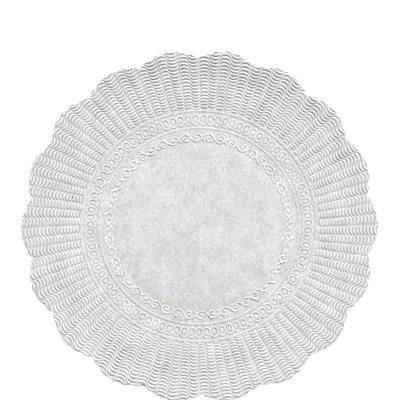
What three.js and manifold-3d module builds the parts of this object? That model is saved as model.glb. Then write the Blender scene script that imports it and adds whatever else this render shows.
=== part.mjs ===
// Round paper doily, 203 mm across, lying flat with its pressed relief upwards.
// Millimetres, +Z up. The origin is under the middle of the sheet, and +Y is the top of the pattern.
// From the middle out: a plain disc, a running scroll, a rope ring, a ring of ovals, a second rope
// ring, then wavy ribs that run out to an edge die-cut in scallops.
import * as THREE from 'three';
import { mergeVertices } from 'three/addons/utils/BufferGeometryUtils.js';
import Module from 'manifold-3d';

const degree = Math.PI / 180;

// Heights above the table
const plainHeight = 1.1;
const grooveHeight = 1.0;
const ribHeight = 1.5;
const ropeHeight = 1.5;
const ovalRimHeight = 1.5;
const ovalBossHeight = 1.3;
const scrollHeight = 1.45;

// Scalloped edge: each scallop is a row of five small round lobes, measured from its left valley
const scallopCount = 18;
const firstValley = 10.67 * degree;
const lobes = [
  { turn: 3.05, reach: 98.3 },
  { turn: 6.9, reach: 100.4 },
  { turn: 10, reach: 101 },
  { turn: 13.1, reach: 100.4 },
  { turn: 16.95, reach: 98.3 },
];
const lobeFall = 0.222; // drop in reach for one degree squared away from a lobe's middle
const pointsPerLobe = 2;
const edgeOval = 0.006; // the edge is this much wider along X and shorter along Y

// The pressed pattern sits a little off the middle of the cut edge. It is stretched slightly along
// X, and slightly along the diagonal
const patternShift = { x: -0.3, y: 0.05 };
const patternStretch = 0.0105;
const patternSkew = 0.0034;

// Running scroll around the plain disc
const discRadius = 47.8;
const discSides = 60;
const scrollRadius = 51.1;
const scrollSwing = 2.15;
const scrollCount = 24;
const scrollSteps = 5; // sides for each wave of the scroll
const firstScrollCrest = 8.8 * degree;
const scrollHalfWidth = 0.85;

// Two rope rings with a ring of ovals between them
const innerRope = { innerFoot: 55.3, crest: 56.4, sides: 60 };
const ovalCount = 91;
const firstOval = 1.2 * degree;
const ovalInnerFoot = 57.5;
const ovalInnerRim = 58.6;
const ovalMiddle = 61.3;
const ovalOuterRim = 63.9;
const ovalFlank = 0.32; // from an oval's middle to the top of its flank, as a share of the spacing
const outerRope = { innerFoot: 65.2, crest: 66.2, outerFoot: 67.1 };

// Wavy ribs
const waveCount = 50;
const firstWaveCrest = 1.3 * degree;
const firstRibPitch = 1.74;
const ribPitchGrowth = 0.01; // added to the pitch for each millimetre further out
const firstWaveSwing = 0.35;
const waveSwingGrowth = 0.034; // added to the swing for each millimetre further out
const waveLean = 0.0005; // the crests lean counter-clockwise by this, in radians a millimetre
const blankRadius = 104;

// A point of the pressed pattern from its radius and angle, at its height
function patternPoint(radius, angle, height) {
  const x = radius * Math.cos(angle);
  const y = radius * Math.sin(angle);
  return {
    angle,
    position: new THREE.Vector3(
      patternShift.x + x * (1 + patternStretch) + y * patternSkew,
      patternShift.y + y * (1 - patternStretch) + x * patternSkew,
      height,
    ),
  };
}

// A ring of points, whose radius and height may change from point to point
function ring(sides, start, radiusOf, heightOf) {
  const points = [];
  for (let i = 0; i < sides; i += 1) {
    const angle = start + (i / sides) * 2 * Math.PI;
    points.push(patternPoint(radiusOf(i), angle, heightOf(i)));
  }
  return points;
}

function roundRing(sides, start, radius, height) {
  return ring(sides, start, () => radius, () => height);
}

// The scroll's line swings in and out; its feet run beside it on both sides
function scrollRings() {
  const sides = scrollCount * scrollSteps;
  const swingAt = (i) => scrollSwing * Math.cos((2 * Math.PI * i) / scrollSteps);
  const line = (offset, height) => ring(
    sides,
    firstScrollCrest,
    (i) => scrollRadius + swingAt(i) + offset,
    () => height,
  );
  return [
    line(-scrollHalfWidth, plainHeight),
    line(0, scrollHeight),
    line(scrollHalfWidth, plainHeight),
  ];
}

// A row of points that repeats for each oval; the columns are shares of the spacing of the ovals
function ovalRow(radius, columns) {
  const points = [];
  for (let oval = 0; oval < ovalCount; oval += 1) {
    columns.forEach(({ share, height }) => {
      const angle = firstOval + ((oval + share) / ovalCount) * 2 * Math.PI;
      points.push(patternPoint(radius, angle, height));
    });
  }
  return points;
}

// Each oval is a raised rim around a lower boss, and neighbouring rims touch at their flanks
function ovalRings() {
  const gap = { share: -0.5, height: grooveHeight };
  const rimEnd = [gap, { share: 0, height: ovalRimHeight }];
  const across = [
    { share: -ovalFlank, height: ovalRimHeight },
    { share: 0, height: ovalBossHeight },
    { share: ovalFlank, height: ovalRimHeight },
  ];
  return [
    ovalRow(ovalInnerFoot, [gap]),
    ovalRow(ovalInnerRim, rimEnd),
    ovalRow(ovalMiddle, across),
    ovalRow(ovalOuterRim, rimEnd),
  ];
}

// Crests and troughs of the ribs in turn, with two columns for each wave
function ribRings() {
  const rings = [];
  const sides = waveCount * 2;
  let radius = outerRope.outerFoot;
  let isCrest = true;
  while (radius < blankRadius) {
    const out = radius - outerRope.outerFoot;
    radius += (firstRibPitch + ribPitchGrowth * out) / 2;
    const swing = firstWaveSwing + waveSwingGrowth * out;
    const middle = radius;
    rings.push(ring(
      sides,
      firstWaveCrest + waveLean * out,
      (i) => middle + (i % 2 === 0 ? swing : -swing),
      () => (isCrest ? ribHeight : grooveHeight),
    ));
    isCrest = !isCrest;
  }
  return rings;
}

// Joins points into triangles, which face up when the rings are given from the middle out
class Surface {
  constructor() {
    this.positions = [];
    this.triangles = [];
  }

  add(point) {
    this.positions.push(point.position);
    return this.positions.length - 1;
  }

  // Every ring is kept in order from the +X axis round, so that rings begin side by side
  addRing(points) {
    const turned = points.map((point) => ({
      index: this.add(point),
      angle: THREE.MathUtils.euclideanModulo(point.angle, 2 * Math.PI),
    }));
    return turned.sort((a, b) => a.angle - b.angle);
  }

  // The ring with the nearer next point moves on, so rings with unlike counts still meet
  joinRings(inner, outer) {
    const angleAt = (points, i) => points[i % points.length].angle
      + (i >= points.length ? 2 * Math.PI : 0);
    let i = 0;
    let j = 0;
    while (i < inner.length || j < outer.length) {
      const innerNext = i < inner.length ? angleAt(inner, i + 1) : Infinity;
      const outerNext = j < outer.length ? angleAt(outer, j + 1) : Infinity;
      const a = inner[i % inner.length].index;
      const b = outer[j % outer.length].index;
      if (outerNext <= innerNext) {
        this.triangles.push([a, b, outer[(j + 1) % outer.length].index]);
        j += 1;
      } else {
        this.triangles.push([a, b, inner[(i + 1) % inner.length].index]);
        i += 1;
      }
    }
  }

  // Closes a ring to one point, as the top or, turned over, as the underside
  fan(centre, points, facesUp) {
    for (let i = 0; i < points.length; i += 1) {
      const here = points[i].index;
      const next = points[(i + 1) % points.length].index;
      this.triangles.push(facesUp ? [centre, here, next] : [centre, next, here]);
    }
  }

  geometry() {
    const geometry = new THREE.BufferGeometry().setFromPoints(this.positions);
    geometry.setIndex(this.triangles.flat());
    return geometry;
  }
}

// A round blank, larger than the doily, with the pattern on its top and its underside below the
// table, where the cut along the edge takes it off
function pressedBlank() {
  const surface = new Surface();
  const rings = [
    roundRing(discSides, firstScrollCrest, discRadius, plainHeight),
    ...scrollRings(),
    roundRing(innerRope.sides, firstScrollCrest, innerRope.innerFoot, plainHeight),
    roundRing(innerRope.sides, firstScrollCrest, innerRope.crest, ropeHeight),
    ...ovalRings(),
    roundRing(waveCount * 2, firstWaveCrest, outerRope.innerFoot, grooveHeight),
    roundRing(waveCount * 2, firstWaveCrest, outerRope.crest, ropeHeight),
    roundRing(waveCount * 2, firstWaveCrest, outerRope.outerFoot, grooveHeight),
    ...ribRings(),
  ].map((points) => surface.addRing(points));
  const top = surface.add(patternPoint(0, 0, plainHeight));
  surface.fan(top, rings[0], true);
  for (let i = 1; i < rings.length; i += 1) surface.joinRings(rings[i - 1], rings[i]);

  const rim = rings[rings.length - 1];
  const below = rim.map((point) => {
    const position = surface.positions[point.index].clone().setZ(-plainHeight);
    return { index: surface.add({ position }), angle: point.angle };
  });
  surface.joinRings(rim, below);
  surface.fan(surface.add(patternPoint(0, 0, -plainHeight)), below, false);
  return surface.geometry();
}

// Where two neighbouring lobes meet, in degrees from the scallop's valley
function cuspBetween(first, second) {
  const reachGap = (first.reach - second.reach) / lobeFall;
  return (reachGap + second.turn ** 2 - first.turn ** 2) / (2 * (second.turn - first.turn));
}

// The die-cut edge, seen from above
function edgeShape() {
  const scallopTurn = 360 / scallopCount;
  const points = [];
  for (let scallop = 0; scallop < scallopCount; scallop += 1) {
    lobes.forEach((lobe, i) => {
      const from = i === 0 ? 0 : cuspBetween(lobes[i - 1], lobe);
      const to = i === lobes.length - 1 ? scallopTurn : cuspBetween(lobe, lobes[i + 1]);
      for (let step = 0; step < pointsPerLobe; step += 1) {
        const turn = from + ((to - from) * step) / pointsPerLobe;
        const angle = firstValley + (scallop * scallopTurn + turn) * degree;
        const reach = lobe.reach - lobeFall * (turn - lobe.turn) ** 2;
        const radius = reach * (1 + edgeOval * Math.cos(2 * angle));
        points.push(new THREE.Vector2(radius * Math.cos(angle), radius * Math.sin(angle)));
      }
    });
  }
  return new THREE.Shape(points);
}

const wasm = await Module();
wasm.setup();

function toSolid(geometry) {
  const plain = geometry.clone();
  plain.deleteAttribute('normal');
  plain.deleteAttribute('uv');
  const merged = mergeVertices(plain);
  return new wasm.Manifold(new wasm.Mesh({
    numProp: 3,
    vertProperties: new Float32Array(merged.attributes.position.array),
    triVerts: new Uint32Array(merged.index.array),
  }));
}

function toGeometry(solid) {
  const mesh = solid.getMesh();
  const geometry = new THREE.BufferGeometry();
  geometry.setAttribute('position', new THREE.BufferAttribute(mesh.vertProperties, mesh.numProp));
  geometry.setIndex(new THREE.BufferAttribute(mesh.triVerts, 1));
  return geometry;
}

// The blank is cut along the edge and level with the table, which leaves a flat underside
function doilyGeometry() {
  const cutter = new THREE.ExtrudeGeometry(edgeShape(), { depth: 2 * ribHeight, bevelEnabled: false });
  return toGeometry(toSolid(pressedBlank()).intersect(toSolid(cutter)));
}

const paper = new THREE.MeshStandardMaterial({ color: 0xf2f2ef, roughness: 0.9, metalness: 0 });

const doily = new THREE.Mesh(doilyGeometry(), paper);
doily.name = 'doily';

const model = new THREE.Group();
model.add(doily);

export default model;
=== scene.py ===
import math

import bmesh
import bpy
import numpy as np
from mathutils import Matrix, Vector


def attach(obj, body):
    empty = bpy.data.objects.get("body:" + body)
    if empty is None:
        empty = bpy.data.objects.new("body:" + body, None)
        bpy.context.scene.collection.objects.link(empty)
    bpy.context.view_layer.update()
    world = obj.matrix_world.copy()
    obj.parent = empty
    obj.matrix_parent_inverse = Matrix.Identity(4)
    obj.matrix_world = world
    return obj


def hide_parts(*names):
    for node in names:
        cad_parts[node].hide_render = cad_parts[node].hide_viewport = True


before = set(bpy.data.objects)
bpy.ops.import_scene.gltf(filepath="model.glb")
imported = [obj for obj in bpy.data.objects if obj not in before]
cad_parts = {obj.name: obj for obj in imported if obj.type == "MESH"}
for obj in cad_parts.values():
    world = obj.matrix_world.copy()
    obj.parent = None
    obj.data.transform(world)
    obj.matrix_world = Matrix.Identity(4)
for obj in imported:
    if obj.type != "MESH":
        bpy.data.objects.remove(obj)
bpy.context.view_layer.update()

# The cut sheet.
# One round of thin white tissue paper, die-cut with a scalloped edge. Its mesh is two layers, flat
# until the press raises them, of rings that already lie along the lines of the pattern.
MM = 0.001
SHEET_THICKNESS = 0.3 * MM
SCALLOP_COUNT = 18
FIRST_VALLEY = math.radians(10.67)
# Five small round lobes make each scallop: degrees from its valley, and reach from the middle
EDGE_LOBES = [
    (3.05, 98.5 * MM), (6.9, 100.6 * MM), (10, 101.2 * MM), (13.1, 100.6 * MM), (16.95, 98.5 * MM),
]
LOBE_FALL = 0.27 * MM  # drop in reach for one degree squared away from a lobe's middle
EDGE_OVAL = 0.006  # the edge is this much wider along X and shorter along Y
EDGE_SHIFT = (0.05 * MM, 0.15 * MM)  # how far the edge sits off the middle, along X and along Y
EDGE_WOBBLE = 0.22 * MM
WOBBLE_COUNTS = (41, 67, 97, 131)  # how many small waves of each kind go round the edge
WOBBLE_START = 1.7
FLATTENED_RIM = 1.2 * MM  # the cutting die flattens the ribs this near the edge

# The pressed pattern sits a little off the middle of the cut edge and is slightly stretched: wider
# along X, and a little wider again along the diagonal
PATTERN_SHIFT = Vector((-0.3 * MM, 0.05 * MM, 0))
PATTERN_STRETCH = 0.0105
PATTERN_SKEW = 0.0034

# Radii of the zones. A rope ring has its inner foot, its crest and its outer foot
SCROLL_BAND = (48.0 * MM, 55.3 * MM)
INNER_ROPE = (55.3 * MM, 56.4 * MM, 57.5 * MM)
OVAL_BAND = (57.5 * MM, 65.2 * MM)
OUTER_ROPE = (65.2 * MM, 66.2 * MM, 67.1 * MM)
INNER_STROKES = 257
OUTER_STROKES = 300
ROPE_SLANT = 3760.0  # how fast the strokes turn clockwise on the way out, in radians a metre

# Waves, and ribs that follow them. What is called growth is added for each metre further out
WAVE_COUNT = 50
FIRST_WAVE_CREST = math.radians(1.3)
WAVE_LEAN = 0.5  # radians counter-clockwise for each metre further out
FIRST_WAVE_SWING = 0.68 * MM
WAVE_SWING_GROWTH = 0.034
WAVE_SQUARENESS = 0.4  # 0 for a plain sine; more makes round arcs with steep flanks between them
FLANK_STEEPNESS = 5.0
FIRST_RIB_PITCH = 1.74 * MM
RIB_PITCH_GROWTH = 0.01

BLANK_REACH = 103.5 * MM  # the rings of mesh go this far before they are cut to the edge
EDGE_SNAP = 0.12 * MM  # mesh points this near the cut edge are moved onto it
MERGE_DISTANCE = EDGE_SNAP / 100


def edge_reach(angle):
    """How far the cut edge is from the middle, in the direction of angle."""
    turn = np.degrees(angle - FIRST_VALLEY) % (360 / SCALLOP_COUNT)
    reach = np.max([top - LOBE_FALL * (turn - middle) ** 2 for middle, top in EDGE_LOBES], axis=0)
    wobble = sum(np.sin(k * angle + WOBBLE_START * k) for k in WOBBLE_COUNTS) / len(WOBBLE_COUNTS)
    shift = EDGE_SHIFT[0] * np.cos(angle) + EDGE_SHIFT[1] * np.sin(angle)
    return reach * (1 + EDGE_OVAL * np.cos(2 * angle)) + EDGE_WOBBLE * wobble + shift


def on_sheet(radius, angle):
    """Where a point of the pattern lies on the sheet."""
    x, y = radius * np.cos(angle), radius * np.sin(angle)
    return np.stack([
        PATTERN_SHIFT.x + x * (1 + PATTERN_STRETCH) + y * PATTERN_SKEW,
        PATTERN_SHIFT.y + y * (1 - PATTERN_STRETCH) + x * PATTERN_SKEW,
    ], axis=1)


def plain_ring(columns, radius, start=0.0):
    """A round ring, as its angles and its points."""
    angle = start + np.arange(columns) * 2 * math.pi / columns
    return angle, on_sheet(np.full(columns, radius), angle)


def wavy_ring(phases, radius):
    """A ring along one line of the waves; phases are those of its points in one wave."""
    out = radius - OUTER_ROPE[2]
    wave_starts = np.arange(WAVE_COUNT)[:, None] * 2 * math.pi
    phase = (wave_starts + np.radians(phases)[None, :]).ravel()
    swing = FIRST_WAVE_SWING + WAVE_SWING_GROWTH * out
    arcs = np.tanh(FLANK_STEEPNESS * np.cos(phase))
    wave = np.cos(phase) * (1 - WAVE_SQUARENESS) + arcs * WAVE_SQUARENESS
    line = radius + swing * wave
    clear_of_rope = line > OUTER_ROPE[2]
    angle = FIRST_WAVE_CREST + WAVE_LEAN * out * clear_of_rope + phase / WAVE_COUNT
    return angle, on_sheet(np.maximum(line, OUTER_ROPE[2]), angle)


def rib_rings(phases, steps, row):
    """Rings along the waves from a row on, steps for each rib, and never past the cut edge."""
    rings = []
    _, outermost = wavy_ring(phases, BLANK_REACH)
    around = np.arctan2(outermost[:, 1], outermost[:, 0])
    edge = edge_reach(around)[:, None] * np.stack([np.cos(around), np.sin(around)], axis=1)
    radius = 0
    while radius < BLANK_REACH:
        # The pitch grows steadily with the way out, so the way out grows exponentially by rows
        out = FIRST_RIB_PITCH / RIB_PITCH_GROWTH * math.expm1(RIB_PITCH_GROWTH * row / steps)
        radius = OUTER_ROPE[2] + out
        angle, flat = wavy_ring(phases, radius)
        reach = edge_reach(np.arctan2(flat[:, 1], flat[:, 0]))
        past = np.hypot(flat[:, 0], flat[:, 1]) > reach - EDGE_SNAP
        rings.append((angle, np.where(past[:, None], edge, flat)))
        row += 1
    return rings


def layer_rings(disc, scroll, inner_rope, ovals, outer_rope, ribs):
    """All rings of one layer, from the middle out.

    Each zone is given as (columns, rows), and a stretch of ribs as (phases, steps, first row).
    """
    columns, rows = disc
    rings = [
        plain_ring(columns, SCROLL_BAND[0] * (row + 1) / (rows + 1)) for row in range(rows)
    ]
    zones = [
        (scroll, SCROLL_BAND, None),
        (inner_rope, INNER_ROPE, INNER_STROKES),
        (ovals, OVAL_BAND, None),
        (outer_rope, OUTER_ROPE, OUTER_STROKES),
    ]
    for (columns, rows), band, strokes in zones:
        for row in range(rows):
            radius = band[0] + (band[-1] - band[0]) * row / rows
            lean = ROPE_SLANT * (radius - band[1]) / strokes if strokes else 0
            rings.append(plain_ring(columns, radius, -lean))
    for stretch in ribs:
        rings += rib_rings(*stretch)
    return rings


def join_rings(inner, outer, inner_start, outer_start):
    """Triangles between two rings, also where their counts differ, facing up."""
    n, m = len(inner[0]), len(outer[0])
    if n == m:
        i = np.arange(n)
        a, b = inner_start + i, outer_start + i
        c, d = outer_start + (i + 1) % n, inner_start + (i + 1) % n
        return np.concatenate([np.stack([a, b, c], 1), np.stack([a, c, d], 1)])
    inner_turn = np.append(inner[0], inner[0][0] + 2 * math.pi)
    outer_turn = np.append(outer[0], outer[0][0] + 2 * math.pi)
    faces = []
    i = j = 0
    while i < n or j < m:
        a, b = inner_start + i % n, outer_start + j % m
        if i == n or (j < m and outer_turn[j + 1] <= inner_turn[i + 1]):
            faces.append((a, b, outer_start + (j + 1) % m))
            j += 1
        else:
            faces.append((a, b, inner_start + (i + 1) % n))
            i += 1
    return np.array(faces)


def layer_mesh(rings, height, first):
    """One layer, closed at the middle: its points, its faces, and where its rim and its end are."""
    points = [np.array([[PATTERN_SHIFT.x, PATTERN_SHIFT.y, height]])]
    starts = []
    total = first + 1
    for _, flat in rings:
        points.append(np.column_stack([flat, np.full(len(flat), height)]))
        starts.append(total)
        total += len(flat)
    around = np.arange(len(rings[0][0]))
    onward = (around + 1) % len(around)
    middle = np.full(len(around), first)
    faces = [np.stack([middle, starts[0] + around, starts[0] + onward], 1)]
    for i in range(1, len(rings)):
        faces.append(join_rings(rings[i - 1], rings[i], starts[i - 1], starts[i]))
    return np.concatenate(points), np.concatenate(faces), starts[-1], total


# Phases of the mesh columns in one wave, in degrees: the fine ones are closest on the steep flanks
FINE_PHASES = (20, 50, 76, 90, 104, 130, 160, 200, 230, 256, 270, 284, 310, 340)
COARSE_PHASES = (0, 66, 114, 180, 246, 294)
# The lower layer is coarser, but its rim has the same points as the upper one's
upper_layer = layer_rings(
    disc=(120, 8), scroll=(600, 17), inner_rope=(1028, 4), ovals=(910, 14), outer_rope=(1200, 4),
    ribs=[(FINE_PHASES, 4, -2)],
)
lower_layer = layer_rings(
    disc=(60, 3), scroll=(312, 7), inner_rope=(192, 2), ovals=(455, 7), outer_rope=(192, 2),
    ribs=[(COARSE_PHASES, 2, -1), (FINE_PHASES, 1, 20)],
)
upper_points, upper_faces, upper_rim, total = layer_mesh(upper_layer, SHEET_THICKNESS, 0)
lower_points, lower_faces, lower_rim, total = layer_mesh(lower_layer, 0.0, total)
lower_faces = lower_faces[:, ::-1]
wall = join_rings(lower_layer[-1], upper_layer[-1], lower_rim, upper_rim)[:, ::-1]

sheet_mesh = bpy.data.meshes.new("doily_sheet")
sheet_mesh.from_pydata(
    np.concatenate([upper_points, lower_points]).tolist(), [],
    np.concatenate([upper_faces, lower_faces, wall]).tolist(),
)
merged = bmesh.new()
merged.from_mesh(sheet_mesh)
bmesh.ops.remove_doubles(merged, verts=merged.verts, dist=MERGE_DISTANCE)
merged.to_mesh(sheet_mesh)
merged.free()

# How far inside the cut edge each point is: 0 at the edge, and 1 from FLATTENED_RIM inwards
places = np.array([vertex.co for vertex in sheet_mesh.vertices])
inside = edge_reach(np.arctan2(places[:, 1], places[:, 0])) - np.hypot(places[:, 0], places[:, 1])
inside = np.clip(inside / FLATTENED_RIM, 0, 1)
sheet_mesh.attributes.new("inside", "FLOAT", "POINT").data.foreach_set("value", inside)
doily = bpy.data.objects.new("doily_sheet", sheet_mesh)
bpy.context.scene.collection.objects.link(doily)

# The scroll die.
# The running scroll is one vine with a curl in each hollow and a small spur at each shoulder.
# It is drawn here as fine lines for one wave; the press repeats it around the disc.
SCROLL_COUNT = 24
SCROLL_MIDDLE = 51.1 * MM
FIRST_SCROLL_CREST = math.radians(8.8)
# Each stroke's points: degrees clockwise from an outer crest, and millimetres from the middle line
SCROLL_STROKES = {
    "vine": [
        (0, 2.1), (1.5, 1.55), (3, 0), (5, -1.65), (7, -2.15), (9, -1.4), (10.4, 0.1),
        (12.3, 1.5), (15, 2.1),
    ],
    "outer curl": [
        (10.4, 0.1), (9.7, 1.1), (8.6, 1.9), (7.3, 1.9), (6.3, 1.2), (6.0, 0.35), (6.7, -0.3),
        (7.5, -0.1),
    ],
    "inner curl": [
        (3, 0), (2.2, -1.1), (1.1, -1.9), (-0.2, -1.9), (-1.2, -1.2), (-1.5, -0.35), (-0.8, 0.3),
        (0, 0.1),
    ],
    "outer spur": [(2.3, 0.9), (1.6, 2.3), (1.1, 2.9)],
    "inner spur": [(10, -0.3), (11.2, -1.3), (12.2, -1.9)],
    "outer bulb": [(7.5, 0.15), (7.75, -0.1), (7.5, -0.35), (7.2, -0.1), (7.5, 0.15)],
    "inner bulb": [(0, 0.35), (0.25, 0.1), (0, -0.15), (-0.3, 0.1), (0, 0.35)],
}
STROKE_STEPS = 4


def smooth_stroke(points):
    """Points along a smooth curve through the given ones."""
    knots = np.array([points[0], *points, points[-1]], float)
    smooth = []
    for a, b, c, d in zip(knots, knots[1:], knots[2:], knots[3:]):
        for step in range(STROKE_STEPS):
            t = step / STROKE_STEPS
            smooth.append(0.5 * (
                2 * b + (c - a) * t
                + (2 * a - 5 * b + 4 * c - d) * t**2
                + (3 * b - a - 3 * c + d) * t**3
            ))
    return [*smooth, knots[-1]]


scroll_points, scroll_lines = [], []
for stroke in SCROLL_STROKES.values():
    for i, (turn, rise) in enumerate(smooth_stroke(stroke)):
        angle = FIRST_SCROLL_CREST - math.radians(turn)
        radius = SCROLL_MIDDLE + rise * MM
        if i:
            scroll_lines.append((len(scroll_points) - 1, len(scroll_points)))
        scroll_points.append((radius * math.cos(angle), radius * math.sin(angle), 0))
scroll_mesh = bpy.data.meshes.new("scroll_die")
scroll_mesh.from_pydata(scroll_points, scroll_lines, [])
scroll_die = bpy.data.objects.new("scroll_die", scroll_mesh)
bpy.context.scene.collection.objects.link(scroll_die)


# The press.
# Matched dies emboss the damp tissue: wavy ribs, rope rings, ovals and the scroll are raised by
# one rule that depends only on where a point lies, so both faces of the paper take the shape.
class Field:
    """A number at every point of a surface; arithmetic on it adds Math nodes to its tree."""

    GROOVE_REACH = 2.2  # the grooves beside a ridge end this many times as far out as it does

    def __init__(self, tree, socket):
        self.tree = tree
        self.socket = socket

    def math(self, operation, *others, clamp=False):
        node = self.tree.nodes.new("ShaderNodeMath")
        node.operation = operation
        node.use_clamp = clamp
        for i, value in enumerate((self, *others)):
            if isinstance(value, Field):
                self.tree.links.new(value.socket, node.inputs[i])
            else:
                node.inputs[i].default_value = value
        return Field(self.tree, node.outputs[0])

    def __add__(self, other):
        return self.math("ADD", other)

    def __sub__(self, other):
        return self.math("SUBTRACT", other)

    def __mul__(self, other):
        return self.math("MULTIPLY", other)

    def __truediv__(self, other):
        return self.math("DIVIDE", other)

    def cos(self):
        return self.math("COSINE")

    def squared(self):
        return self.math("POWER", 2.0)

    def magnitude(self):
        return self.math("ABSOLUTE")

    def at_most(self, limit):
        return self.math("MINIMUM", limit)

    def at_least(self, limit):
        return self.math("MAXIMUM", limit)

    def clamped(self):
        """The field, kept from 0 to 1."""
        return self.math("ADD", 0.0, clamp=True)

    def rest(self):
        """What the field leaves of 1."""
        return self * -1 + 1

    def hump(self):
        """1 where the field is 0, falling smoothly to 0 where it is 1 or -1."""
        return (self.magnitude().at_most(1.0) * math.pi).cos() * 0.5 + 0.5

    def ridge(self, groove):
        """A hump with a groove along each side."""
        return self.hump() * (1 + groove) - (self / self.GROOVE_REACH).hump() * groove


PRESS_SIZES = {
    # The pattern on the sheet
    "Shift X": PATTERN_SHIFT.x,
    "Shift Y": PATTERN_SHIFT.y,
    "Stretch": PATTERN_STRETCH,
    "Skew": PATTERN_SKEW,
    # Ribs: their rows and waves
    "Rib Start": OUTER_ROPE[2],
    "Rib Pitch": FIRST_RIB_PITCH,
    "Rib Pitch Growth": RIB_PITCH_GROWTH,
    "Wave Count": WAVE_COUNT,
    "Wave Crest": FIRST_WAVE_CREST,
    "Wave Lean": WAVE_LEAN,
    "Wave Swing": FIRST_WAVE_SWING,
    "Wave Swing Growth": WAVE_SWING_GROWTH,
    "Wave Squareness": WAVE_SQUARENESS,
    "Flank Steepness": FLANK_STEEPNESS,
    "Rib Wobble": 0.35 * MM,
    "Column Shift": 0.22 * MM,
    # Ribs: how high they are. Growth and Fall are for each metre further out
    "Rib Foot": 0.35 * MM,
    "Rib Relief": 0.235 * MM,
    "Rib Relief Growth": 0.0036,
    "Rib Flatness": 0.2,
    "Rib Unevenness": 0.3,
    "Column Unevenness": 0.25,
    "Rim Relief": 0.45,
    "Upper Bite": 0.1,
    "Side Bite": 0.22,
    "Side Loss": 0.1,
    # The folds between the columns of ribs
    "Flank Fade": 0.55,
    "Flank Crease": 0.37 * MM,
    "Crease Fall": 0.0045,
    "Crease Half Width": 1.0 * MM,
    "Crease Sharpness": 2.0,
    # Rope rings
    "Inner Rope": INNER_ROPE[1],
    "Inner Rope Relief": 0.26 * MM,
    "Inner Strokes": INNER_STROKES,
    "Outer Rope": OUTER_ROPE[1],
    "Outer Rope Relief": 0.22 * MM,
    "Outer Strokes": OUTER_STROKES,
    "Rope Half Width": 0.8 * MM,
    "Rope Slant": ROPE_SLANT,
    "Stroke Relief": 0.13 * MM,
    "Stroke Half Length": 1.25 * MM,
    # Ovals. Oval Rim and what follows are shares: of the way from middle to rim, or of the relief
    "Oval Count": 91,
    "First Oval": math.radians(1.2),
    "Oval Middle": 61.27 * MM,
    "Oval Half Width": 2.05 * MM,
    "Oval Half Length": 2.75 * MM,
    "Oval Relief": 0.34 * MM,
    "Oval Wear": 0.5,
    "Oval Rim": 0.21,
    "Boss Top": 0.3,
    "Boss Flank": 0.35,
    "Boss Height": 0.25,
    "Hollow Middle": 0.75,
    "Hollow Width": 0.19,
    "Hollow Depth": 0.85,
    "Moat Middle": 1.32,
    "Moat Width": 0.24,
    "Moat Depth": 0.35,
    # Scroll
    "Scroll Count": SCROLL_COUNT,
    "Scroll Half Width": 0.66 * MM,
    "Scroll Relief": 0.36 * MM,
    "Scroll Wear": 1.0,
    # The whole sheet
    "Lower Face": 0.7,
    "Cockle": 0.04 * MM,
    "Sag": 0.1 * MM,
    "Swell": 0.14 * MM,
    "Swell Start": 62 * MM,
    "Swell Length": 24 * MM,
    # How the relief is noted for the painted shade in the grooves and painted highlight on the
    # ridges
    "Full Relief": 0.25 * MM,
    "Scroll Painted Light Loss": 0.25,
    "Rope Painted Light Loss": 0.5,
}
ROPE_GROOVE = 0.85
SCROLL_GROOVE = 0.7
SCROLL_WEAR_LIMIT = 1.4
WALL_FACING = 0.05  # faces whose normal leans less than this from level are the wall along the cut
# The noise behind each size that is uneven: its scale, its detail and its seed
NOISES = {
    "Rib Wobble": (70, 1, 5.0),
    "Column Shift": (14, 1, 7.0),
    "Rib Unevenness": (90, 4, 3.0),
    "Column Unevenness": (11, 1, 2.0),
    "Oval Wear": (420, 1, 6.0),
    "Scroll Wear": (380, 1, 4.0),
    "Cockle": (330, 2, 11.0),
    "Sag": (22, 1, 8.0),
}
NOISE_GAIN = 4  # brings noise, which mostly keeps within a quarter of its middle, to about -1 to 1

press = bpy.data.node_groups.new("doily_press", "GeometryNodeTree")
press.interface.new_socket("Geometry", in_out="INPUT", socket_type="NodeSocketGeometry")
press.interface.new_socket("Scroll Die", in_out="INPUT", socket_type="NodeSocketObject")
press.interface.new_socket("Paper", in_out="INPUT", socket_type="NodeSocketMaterial")
for name, value in PRESS_SIZES.items():
    socket = press.interface.new_socket(name, in_out="INPUT", socket_type="NodeSocketFloat")
    socket.default_value = value
press.interface.new_socket("Geometry", in_out="OUTPUT", socket_type="NodeSocketGeometry")
nodes, links = press.nodes, press.links
entry = nodes.new("NodeGroupInput")
leave = nodes.new("NodeGroupOutput")


def size(name):
    """One of the press's own sizes."""
    return Field(press, entry.outputs[name])


def vector(**axes):
    """A vector from a field for each axis given; the others are 0."""
    node = nodes.new("ShaderNodeCombineXYZ")
    for name, field in axes.items():
        links.new(field.socket, node.inputs[name])
    return node.outputs[0]


def axis(socket, name):
    """One axis of a vector."""
    node = nodes.new("ShaderNodeSeparateXYZ")
    links.new(socket, node.inputs[0])
    return Field(press, node.outputs[name])


def uneven(name, sampled_at=None):
    """Smooth noise around 0, on the sheet or where told, as strong as the size of that name."""
    scale, detail, seed = NOISES[name]
    node = nodes.new("ShaderNodeTexNoise")
    node.noise_dimensions = "4D"
    node.inputs["W"].default_value = seed
    node.inputs["Scale"].default_value = scale
    node.inputs["Detail"].default_value = detail
    if sampled_at:
        links.new(sampled_at, node.inputs["Vector"])
    return (Field(press, node.outputs["Fac"]) - 0.5) * size(name) * NOISE_GAIN


# Where a point lies in the pattern
place = nodes.new("GeometryNodeInputPosition").outputs[0]
off_x = axis(place, "X") - size("Shift X")
off_y = axis(place, "Y") - size("Shift Y")
across = off_x - off_x * size("Stretch") - off_y * size("Skew")
along = off_y + off_y * size("Stretch") - off_x * size("Skew")
turn = along.math("ARCTAN2", across)
radius = (across.squared() + along.squared()).math("SQRT")
# The same for all points of one column, so that a column's unevenness runs along it
direction = vector(X=across / radius, Y=along / radius)

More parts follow.
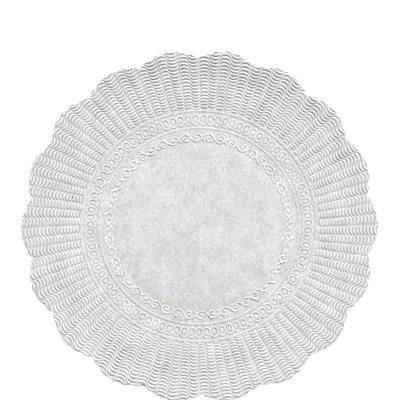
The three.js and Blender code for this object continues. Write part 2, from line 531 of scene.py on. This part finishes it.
# Wavy ribs, counted outwards from the outer rope. Along each flank of the waves, where two columns
# meet, they fade and the paper is creased
out = radius - size("Rib Start")
swing = size("Wave Swing") + size("Wave Swing Growth") * out
wave_turn = (turn - size("Wave Crest") - size("Wave Lean") * out) * size("Wave Count")
arcs = (wave_turn.cos() * size("Flank Steepness")).math("TANH")
wave = wave_turn.cos() * size("Wave Squareness").rest() + arcs * size("Wave Squareness")
row_out = out - swing * wave + uneven("Rib Wobble") + uneven("Column Shift", direction)
growth = size("Rib Pitch Growth")
row = (growth * row_out / size("Rib Pitch") + 1).math("LOGARITHM", math.e) / growth
profile = (row * 2 * math.pi).cos() * -1 - (row * 4 * math.pi).cos() * size("Rib Flatness")
evenness = uneven("Rib Unevenness") + uneven("Column Unevenness", direction) + 1
# The die bit deeper at the top of the pattern, and by another depth on the two flanks at its sides
beside = turn.cos()
bite = turn.math("SINE") * size("Upper Bite") + 1
bite = bite - beside.squared() * (beside * wave * size("Side Bite") + size("Side Loss"))
from_flank = wave_turn.cos() * radius / size("Wave Count") / size("Crease Half Width")
fold = from_flank.magnitude().at_most(1.0).rest().math("POWER", size("Crease Sharpness"))
faded = (from_flank.hump() * size("Flank Fade")).rest()
on_ribs = (out / size("Rib Foot")).clamped()
rim_share = nodes.new("GeometryNodeInputNamedAttribute")
rim_share.data_type = "FLOAT"
rim_share.inputs["Name"].default_value = "inside"
rim_share = Field(press, rim_share.outputs["Attribute"])
pressed_full = rim_share * size("Rim Relief").rest() + size("Rim Relief")
rib_relief = (size("Rib Relief") + size("Rib Relief Growth") * out) * pressed_full
ribs = profile * faded * rib_relief * evenness * bite * on_ribs
creases = fold * (size("Flank Crease") - size("Crease Fall") * out) * on_ribs


def rope(name):
    """A ring's own ridge, between two grooves."""
    across_rope = (radius - size(name)) / size("Rope Half Width")
    return across_rope.ridge(ROPE_GROOVE) * size(name + " Relief")


def strokes(name, count):
    """The slanted strokes across a ring, which make it look like a laid rope."""
    away = radius - size(name)
    strands = (turn * size(count) + away * size("Rope Slant")).cos()
    return (away / size("Stroke Half Length")).hump() * strands * size("Stroke Relief")


ropes = rope("Inner Rope") + rope("Outer Rope")
rope_strokes = strokes("Inner Rope", "Inner Strokes") + strokes("Outer Rope", "Outer Strokes")

# Ovals: a raised rim around a hollow and a lower boss, with a shallow moat outside it
cell = (turn - size("First Oval")) * size("Oval Count") / (2 * math.pi)
off_side = (cell - cell.math("ROUND")) * 2 * math.pi / size("Oval Count") * size("Oval Middle")
off_length = (radius - size("Oval Middle")) / size("Oval Half Length")
shell = ((off_side / size("Oval Half Width")).squared() + off_length.squared()).math("SQRT")
oval_rim = ((shell - 1) / size("Oval Rim")).hump()
boss = ((shell - size("Boss Top")).at_least(0.0) / size("Boss Flank")).hump()
hollow = ((shell - size("Hollow Middle")) / size("Hollow Width")).hump() * size("Hollow Depth")
moat = ((shell - size("Moat Middle")) / size("Moat Width")).hump() * size("Moat Depth")
ovals = (oval_rim + boss * size("Boss Height") - hollow - moat) * size("Oval Relief")
ovals = ovals * (uneven("Oval Wear") + 1)

# The scroll: its die is repeated around the disc, and the paper rises near its lines
die = nodes.new("GeometryNodeObjectInfo")
links.new(entry.outputs["Scroll Die"], die.inputs["Object"])
spots = nodes.new("GeometryNodePoints")
links.new(entry.outputs["Scroll Count"], spots.inputs["Count"])
number = Field(press, nodes.new("GeometryNodeInputIndex").outputs[0])
repeated = nodes.new("GeometryNodeInstanceOnPoints")
links.new(spots.outputs[0], repeated.inputs["Points"])
links.new(die.outputs["Geometry"], repeated.inputs["Instance"])
links.new(vector(Z=number * 2 * math.pi / size("Scroll Count")), repeated.inputs["Rotation"])
dies = nodes.new("GeometryNodeRealizeInstances")
links.new(repeated.outputs[0], dies.inputs[0])
nearest = nodes.new("GeometryNodeProximity")
nearest.target_element = "EDGES"
links.new(dies.outputs[0], nearest.inputs[0])
links.new(vector(X=across, Y=along), nearest.inputs["Sample Position"])
off_line = Field(press, nearest.outputs["Distance"]) / size("Scroll Half Width")
wear = (uneven("Scroll Wear") + 1).at_least(0.0).at_most(SCROLL_WEAR_LIMIT)
scroll = off_line.ridge(SCROLL_GROOVE) * wear * size("Scroll Relief")

# Everything together: the lower face takes less of the relief, and the strokes only show above.
# The paper also cockles outside the plain disc, sags a little, and swells in two rings further out
cockle = uneven("Cockle") * (radius - SCROLL_BAND[0]).math("GREATER_THAN", 0.0)
raised = ribs - creases + ropes + ovals + scroll + cockle
on_top = axis(place, "Z").math("GREATER_THAN", SHEET_THICKNESS / 2)
face_share = on_top * size("Lower Face").rest() + size("Lower Face")
swell_out = radius.at_least(size("Swell Start")) - size("Swell Start")
swell = (swell_out / size("Swell Length") * 2 * math.pi).cos() * size("Swell")
lift = raised * face_share + rope_strokes * on_top + (uneven("Sag") - swell)
# The relief that the paper's colour follows, for painted shade in the grooves and a painted
# highlight on the ridges; the creases and part of the scroll and ropes are left out of it
painted_light_depth = raised + creases - scroll * size("Scroll Painted Light Loss") - ropes * size("Rope Painted Light Loss")

note = nodes.new("GeometryNodeStoreNamedAttribute")
note.data_type = "FLOAT"
note.domain = "POINT"
note.inputs["Name"].default_value = "relief"
links.new((painted_light_depth / size("Full Relief")).socket, note.inputs["Value"])
links.new(entry.outputs["Geometry"], note.inputs["Geometry"])
shape = nodes.new("GeometryNodeSetPosition")
links.new(note.outputs["Geometry"], shape.inputs["Geometry"])
links.new(vector(Z=lift), shape.inputs["Offset"])
# The upright wall along the cut stays flat-shaded, so that the rim keeps its own shading
facing = nodes.new("GeometryNodeInputNormal").outputs[0]
off_the_wall = axis(facing, "Z").magnitude().math("GREATER_THAN", WALL_FACING)
smooth = nodes.new("GeometryNodeSetShadeSmooth")
links.new(shape.outputs[0], smooth.inputs["Geometry"])
links.new(off_the_wall.socket, smooth.inputs["Selection"])
realize = nodes.new("GeometryNodeRealizeInstances")
links.new(smooth.outputs[0], realize.inputs[0])
papered = nodes.new("GeometryNodeSetMaterial")
links.new(realize.outputs[0], papered.inputs["Geometry"])
links.new(entry.outputs["Paper"], papered.inputs["Material"])
links.new(papered.outputs[0], leave.inputs[0])

# The paper.
# Uncoated white tissue, matt and unprinted: a mottled fibre grain with painted shade in its grooves
# and a painted highlight on its ridges, yellowed a little towards the rim and darkened there by
# painted shade strongest at the top, with a few faint stains from storage, painted shade over the
# lower middle and one dark fleck.
PAPER_LIGHT = (0.865, 0.865, 0.867, 1)
PAPER_DARK = (0.6, 0.6, 0.6, 1)
MOTTLE_RANGE = (0.33, 0.67)
GROOVE_PAINTED_SHADE = 0.67  # painted shade: how far the deepest grooves' colour is darkened, beside the plain paper
# Painted highlight: how far the highest ridges' colour is lightened, beside the plain paper
RIDGE_PAINTED_HIGHLIGHT = 1.3
FIBRE_HEIGHT = 0.12 * MM
# Ageing and painted shade grow outwards between two radii; the mark is strongest at the top of
# the pattern, where it is painted shade
AGE_AND_SHADE_TONE = (0.935, 0.937, 0.924, 1)
AGE_AND_SHADE_FROM, AGE_AND_SHADE_TO = 62 * MM, 98 * MM
AGE_AND_SHADE_EVERYWHERE, PAINTED_SHADE_AT_TOP = 0.2, 0.8
AGE_AND_SHADE_RAGGEDNESS = 0.4
# Yellowing is outside the ropes, over the upper side, where its tilt leans it to the right. Start
# and blend are sines of the angle above the sheet's middle
YELLOWED_TONE = (0.976, 0.979, 0.948, 1)
YELLOWED_FROM, YELLOWED_TO = 65 * MM, 68 * MM
YELLOWED_TILT = 0.1
YELLOWED_START, YELLOWED_BLEND = 0.4, 0.4
YELLOWED_RAGGEDNESS = 0.2
# Where the marks are, and how far each one reaches, in millimetres
STAINS = [
    (-36.4, -15.5, 4), (-8.6, -13.8, 5), (10.7, -12.1, 4), (34, -16.1, 4), (-35.3, -31.4, 5),
    (-17.1, -42.8, 6), (5, -41.1, 5), (-12.6, -51.3, 5), (10.2, -49.6, 5), (34.6, -27.4, 5),
    (46.5, -22.9, 4), (47.7, -29.7, 4), (6.8, -83, 6), (-22, -80, 6), (-40, -72, 5), (47, -84, 5),
]
STAIN_TONE = (0.97, 0.97, 0.905, 1)
WARM_STAINS = [(-24, 91, 14), (2, 91, 14), (20, 91, 11), (-42, 84, 8), (-14, 72, 5), (6, 72, 5)]
WARM_TONE = (1.0, 0.965, 0.96, 1)
# Painted shade: a soft grey darkening over the lower middle of the sheet
LOWER_PAINTED_SHADE = (0, -34, 50)
LOWER_PAINTED_SHADE_TONE = (0.955, 0.955, 0.953, 1)
FLECK = (-72.3, 16.7, 0.85)
FLECK_TONE = (0.06, 0.055, 0.05, 1)
MARK_RAGGEDNESS = 0.5
BLOTCH_SCALE = 260
BLOTCH_GAIN = 1.6

grain = bpy.data.node_groups.new("paper_grain", "ShaderNodeTree")
GRAIN_SIZES = {
    "Cloud Scale": 34.0,
    "Clump Scale": 130.0,
    "Fibre Scale": 1100.0,
    "Cloud Share": 0.12,
    "Clump Share": 0.35,
}
for name, value in GRAIN_SIZES.items():
    socket = grain.interface.new_socket(name, in_out="INPUT", socket_type="NodeSocketFloat")
    socket.default_value = value
grain.interface.new_socket("Vector", in_out="INPUT", socket_type="NodeSocketVector")
grain.interface.new_socket("Mottle", in_out="OUTPUT", socket_type="NodeSocketFloat")
grain.interface.new_socket("Height", in_out="OUTPUT", socket_type="NodeSocketFloat")
grain_in = grain.nodes.new("NodeGroupInput")
grain_out = grain.nodes.new("NodeGroupOutput")


def grain_noise(scale, detail, along_fibres):
    """Noise stretched along the paper's making direction."""
    mapping = grain.nodes.new("ShaderNodeMapping")
    mapping.inputs["Scale"].default_value = (1, along_fibres, 1)
    grain.links.new(grain_in.outputs["Vector"], mapping.inputs["Vector"])
    node = grain.nodes.new("ShaderNodeTexNoise")
    node.inputs["Detail"].default_value = detail
    node.inputs["Roughness"].default_value = 0.6
    grain.links.new(grain_in.outputs[scale], node.inputs["Scale"])
    grain.links.new(mapping.outputs[0], node.inputs["Vector"])
    return Field(grain, node.outputs["Fac"])


clouds = grain_noise("Cloud Scale", 2, 0.8)
clumps = grain_noise("Clump Scale", 4, 0.8)
fibres = grain_noise("Fibre Scale", 1, 0.7)
clump_share = Field(grain, grain_in.outputs["Clump Share"])
cloudy = (clouds - 0.5) * Field(grain, grain_in.outputs["Cloud Share"])
mottle = clumps * clump_share + fibres * clump_share.rest() + cloudy
grain.links.new(mottle.socket, grain_out.inputs["Mottle"])
grain.links.new((clumps * 0.5 + fibres * 0.5).socket, grain_out.inputs["Height"])

paper = bpy.data.materials.new("doily_paper")
paper.use_nodes = True
tree = paper.node_tree
tree.nodes.clear()
surface = tree.nodes.new("ShaderNodeOutputMaterial")
shader = tree.nodes.new("ShaderNodeBsdfPrincipled")
shader.inputs["Roughness"].default_value = 0.92
shader.inputs["Specular IOR Level"].default_value = 0.25
tree.links.new(shader.outputs[0], surface.inputs["Surface"])
coords = tree.nodes.new("ShaderNodeTexCoord")
fibre = tree.nodes.new("ShaderNodeGroup")
fibre.node_tree = grain
tree.links.new(coords.outputs["Object"], fibre.inputs["Vector"])

# The grain's light and dark, then painted shade in the grooves and a painted highlight on
# the ridges, which follow the relief
spread = tree.nodes.new("ShaderNodeMapRange")
spread.inputs["From Min"].default_value = MOTTLE_RANGE[0]
spread.inputs["From Max"].default_value = MOTTLE_RANGE[1]
tree.links.new(fibre.outputs["Mottle"], spread.inputs["Value"])
mottled = tree.nodes.new("ShaderNodeMix")
mottled.data_type = "RGBA"
mottled.inputs["A"].default_value = PAPER_DARK
mottled.inputs["B"].default_value = PAPER_LIGHT
tree.links.new(spread.outputs[0], mottled.inputs["Factor"])
relief = tree.nodes.new("ShaderNodeAttribute")
relief.attribute_name = "relief"
relief_painted_light = tree.nodes.new("ShaderNodeMapRange")
relief_painted_light.inputs["From Min"].default_value = -1
relief_painted_light.inputs["To Min"].default_value = GROOVE_PAINTED_SHADE
relief_painted_light.inputs["To Max"].default_value = RIDGE_PAINTED_HIGHLIGHT
tree.links.new(relief.outputs["Fac"], relief_painted_light.inputs["Value"])
colour_with_painted_light = tree.nodes.new("ShaderNodeMix")
colour_with_painted_light.data_type = "RGBA"
colour_with_painted_light.blend_type = "MULTIPLY"
colour_with_painted_light.inputs["Factor"].default_value = 1
tree.links.new(mottled.outputs["Result"], colour_with_painted_light.inputs["A"])
tree.links.new(relief_painted_light.outputs[0], colour_with_painted_light.inputs["B"])

# Marks, placed by object coordinates that a little noise makes ragged
sheet_place = tree.nodes.new("ShaderNodeSeparateXYZ")
tree.links.new(coords.outputs["Object"], sheet_place.inputs[0])
mark_x = Field(tree, sheet_place.outputs["X"])
mark_y = Field(tree, sheet_place.outputs["Y"])
blotch = tree.nodes.new("ShaderNodeTexNoise")
blotch.inputs["Scale"].default_value = BLOTCH_SCALE
tree.links.new(coords.outputs["Object"], blotch.inputs["Vector"])
ragged = (Field(tree, blotch.outputs["Fac"]) - 0.5) * BLOTCH_GAIN


def spot(x, y, reach):
    """1 in the middle of a soft spot and 0 outside it."""
    off = (mark_x - x * MM).squared() + (mark_y - y * MM).squared()
    return (off.math("SQRT") / (reach * MM) + ragged * MARK_RAGGEDNESS).hump()


def spots_at(marks):
    """All the soft spots in a list, without adding up where they meet."""
    together = spot(*marks[0])
    for mark in marks[1:]:
        together = together.at_least(spot(*mark))
    return together


def tinted(colour, amount, tint, blend="MULTIPLY"):
    """The colour under a mark."""
    node = tree.nodes.new("ShaderNodeMix")
    node.data_type = "RGBA"
    node.blend_type = blend
    node.inputs["B"].default_value = tint
    tree.links.new(amount.socket, node.inputs["Factor"])
    tree.links.new(colour, node.inputs["A"])
    return node.outputs["Result"]


from_middle = (mark_x.squared() + mark_y.squared()).math("SQRT")
towards_top = mark_y / from_middle * 0.5 + 0.5
# Ageing towards the rim, darkened further towards the top by painted shade
age_and_shade = (from_middle - AGE_AND_SHADE_FROM) / (AGE_AND_SHADE_TO - AGE_AND_SHADE_FROM) + ragged * AGE_AND_SHADE_RAGGEDNESS
age_and_shade = age_and_shade.clamped() * (towards_top * PAINTED_SHADE_AT_TOP + AGE_AND_SHADE_EVERYWHERE)
upper_side = ((mark_y + mark_x * YELLOWED_TILT) / from_middle - YELLOWED_START) / YELLOWED_BLEND
upper_side = upper_side + ragged * YELLOWED_RAGGEDNESS
outside = (from_middle - YELLOWED_FROM) / (YELLOWED_TO - YELLOWED_FROM)
yellowed = upper_side.clamped() * outside.clamped()
# Ageing with painted shade towards the top, yellowing, stains, painted shade over the lower middle,
# then the fleck
colour = tinted(colour_with_painted_light.outputs["Result"], age_and_shade, AGE_AND_SHADE_TONE)
colour = tinted(colour, yellowed, YELLOWED_TONE)
colour = tinted(colour, spots_at(STAINS), STAIN_TONE)
colour = tinted(colour, spots_at(WARM_STAINS), WARM_TONE)
# Painted shade over the lower middle of the sheet
colour = tinted(colour, spot(*LOWER_PAINTED_SHADE), LOWER_PAINTED_SHADE_TONE)
colour = tinted(colour, spot(*FLECK), FLECK_TONE, "MIX")
tree.links.new(colour, shader.inputs["Base Color"])

bump = tree.nodes.new("ShaderNodeBump")
bump.inputs["Strength"].default_value = 1
bump.inputs["Distance"].default_value = FIBRE_HEIGHT
tree.links.new(fibre.outputs["Height"], bump.inputs["Height"])
tree.links.new(bump.outputs[0], shader.inputs["Normal"])

# The pressing itself, then the plain mesh that is kept, set down on the table
modifier = doily.modifiers.new("press", "NODES")
modifier.node_group = press
inputs = {
    item.name: item.identifier for item in press.interface.items_tree if item.in_out == "INPUT"
}
modifier[inputs["Scroll Die"]] = scroll_die
modifier[inputs["Paper"]] = paper
for name, value in PRESS_SIZES.items():
    modifier[inputs[name]] = float(value)
evaluated = doily.evaluated_get(bpy.context.evaluated_depsgraph_get())
pressed = bpy.data.meshes.new_from_object(evaluated)
doily.modifiers.clear()
doily.data = pressed
pressed.name = "doily_sheet"
lowest = min(vertex.co.z for vertex in pressed.vertices)
pressed.transform(Matrix.Translation((0, 0, -lowest)))
bpy.data.objects.remove(scroll_die)

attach(doily, "root")
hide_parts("doily")

# The table.
# A plain white top that the doily lies flat on. It glows a little, so that the thin sheet's shadow
# is as faint on it as in the photograph.
TABLE_SIZE = 6.0
half = TABLE_SIZE / 2
table_corners = [(-half, -half, 0), (half, -half, 0), (half, half, 0), (-half, half, 0)]
table_mesh = bpy.data.meshes.new("table_top")
table_mesh.from_pydata(table_corners, [], [(0, 1, 2, 3)])
table = bpy.data.objects.new("table_top", table_mesh)
bpy.context.scene.collection.objects.link(table)
table_finish = bpy.data.materials.new("table_white")
table_finish.use_nodes = True
table_shader = table_finish.node_tree.nodes["Principled BSDF"]
table_shader.inputs["Base Color"].default_value = (0.9, 0.9, 0.9, 1)
table_shader.inputs["Roughness"].default_value = 0.9
table_shader.inputs["Emission Color"].default_value = (1, 1, 1, 1)
table_shader.inputs["Emission Strength"].default_value = 0.6
table_mesh.materials.append(table_finish)

# The light and the camera.
# A low soft light comes from the top of the picture over an even pale fill, and the camera
# looks straight down on the sheet.
SUN_STRENGTH = 3.82
SUN_SOFTNESS = math.radians(12)
SUN_FROM_UPRIGHT = math.radians(61)
SUN_TURN = math.radians(18)  # clockwise from the top of the picture
FILL_STRENGTH = 0.447
CAMERA_PLACE = (0.216 * MM, 14.904 * MM, 500 * MM)
FRAME_WIDTH = 227.36 * MM

sun = bpy.data.lights.new("key", "SUN")
sun.energy = SUN_STRENGTH
sun.angle = SUN_SOFTNESS
key = bpy.data.objects.new("key", sun)
key.rotation_euler = (-SUN_FROM_UPRIGHT, 0, -SUN_TURN)
bpy.context.scene.collection.objects.link(key)
world = bpy.data.worlds.new("fill")
world.use_nodes = True
world.node_tree.nodes["Background"].inputs["Color"].default_value = (1, 1, 1, 1)
world.node_tree.nodes["Background"].inputs["Strength"].default_value = FILL_STRENGTH
bpy.context.scene.world = world

lens = bpy.data.cameras.new("camera")
lens.type = "ORTHO"
lens.ortho_scale = FRAME_WIDTH
camera = bpy.data.objects.new("camera", lens)
camera.location = CAMERA_PLACE
bpy.context.scene.collection.objects.link(camera)
bpy.context.scene.camera = camera
bpy.context.scene.view_settings.view_transform = "Standard"
